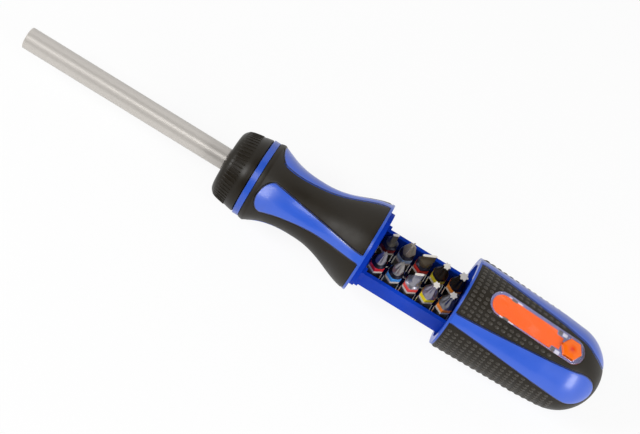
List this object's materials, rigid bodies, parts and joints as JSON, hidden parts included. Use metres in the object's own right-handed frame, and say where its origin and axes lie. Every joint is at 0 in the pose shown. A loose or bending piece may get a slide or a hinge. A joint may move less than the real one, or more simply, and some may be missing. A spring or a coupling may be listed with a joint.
{
  "type": "ratcheting screwdriver",
  "caption": "Ratcheting screwdriver with a magnetic hex bit socket, a direction ring and a sliding handle cap, latched by a button, that covers a tray of upright bits.",
  "frame": {"origin": "centre of the bit socket's mouth at the tip of the shaft", "axes": "+X along the shaft towards the handle's domed end; +Z out of the bit tray, on the side of the window and the button"},
  "size_m": [0.2728, 0.0408, 0.0409],
  "materials": {
    "blue_plastic": "glossy",
    "rubber": "matte",
    "black_plastic": "matte",
    "satin_steel": "satin",
    "bit_steel": "satin",
    "spring_steel": "bright",
    "dark_steel": "oiled",
    "bronze": "satin",
    "orange_plate": "glossy",
    "orange_button": "glossy",
    "clear_plastic": "clear"
  },
  "bodies": {
    "handle": {"ratchet_housing": "dark_steel", "front_bush": "bronze", "rear_bush": "bronze", "thrust_washer": "spring_steel", "pawl_pin": "spring_steel", "housing_screws": "spring_steel", "detent_ball": "spring_steel", "detent_spring": "spring_steel", "ring_clip": "spring_steel", "front_core": "blue_plastic", "front_grip": "rubber", "tray": "blue_plastic", "tray_screw": "spring_steel", "bit_holder": "blue_plastic", "bit_clip_near": "spring_steel", "bit_clip_far": "spring_steel", "bit_cross_small": "bit_steel", "bit_cross_mid": "bit_steel", "bit_blade_mid": "bit_steel", "bit_star_small": "bit_steel", "bit_star_mid": "bit_steel", "bit_blade_small": "bit_steel", "bit_cross_large": "bit_steel", "bit_blade_wide": "bit_steel", "bit_star_large": "bit_steel", "bit_star_wide": "bit_steel"},
    "spindle": {"drive_shaft": "satin_steel", "socket_magnet": "dark_steel", "ratchet_gear": "dark_steel", "shaft_clip": "dark_steel"},
    "selector": {"selector_ring": "black_plastic", "toggle_spring": "spring_steel"},
    "pawl": {"rocker_pawl": "dark_steel"},
    "cap": {"cap_core": "blue_plastic", "cap_grip": "rubber", "badge_plate": "orange_plate", "badge_lens": "clear_plastic", "button_spring": "spring_steel"},
    "button": {"release_button": "orange_button", "catch_stirrup": "dark_steel"}
  },
  "joints": [
    {"name": "shaft_spin", "type": "hinge", "parent": "handle", "child": "spindle", "pos_m": [0.1, 0, 0], "axis": [1, 0, 0], "continuous": true},
    {"name": "selector_turn", "type": "hinge", "parent": "handle", "child": "selector", "pos_m": [0.1, 0, 0], "axis": [1, 0, 0], "range_deg": [-18, 18]},
    {"name": "pawl_rock", "type": "hinge", "parent": "handle", "child": "pawl", "pos_m": [0.1034, 0, 0.0109], "axis": [1, 0, 0], "range_deg": [-8.1, 8.1]},
    {"name": "cap_slide", "type": "slide", "parent": "handle", "child": "cap", "axis": [1, 0, 0], "range_m": [-0.041, 0]},
    {"name": "button_press", "type": "slide", "parent": "cap", "child": "button", "axis": [0, 0, -1], "range_m": [0, 0.0015], "stiffness_N_per_m": 2000, "deforming": ["button_spring"]}
  ],
  "couplings": [
    {"joint": "pawl_rock", "follows": "selector_turn", "ratio": 0.4444}
  ]
}
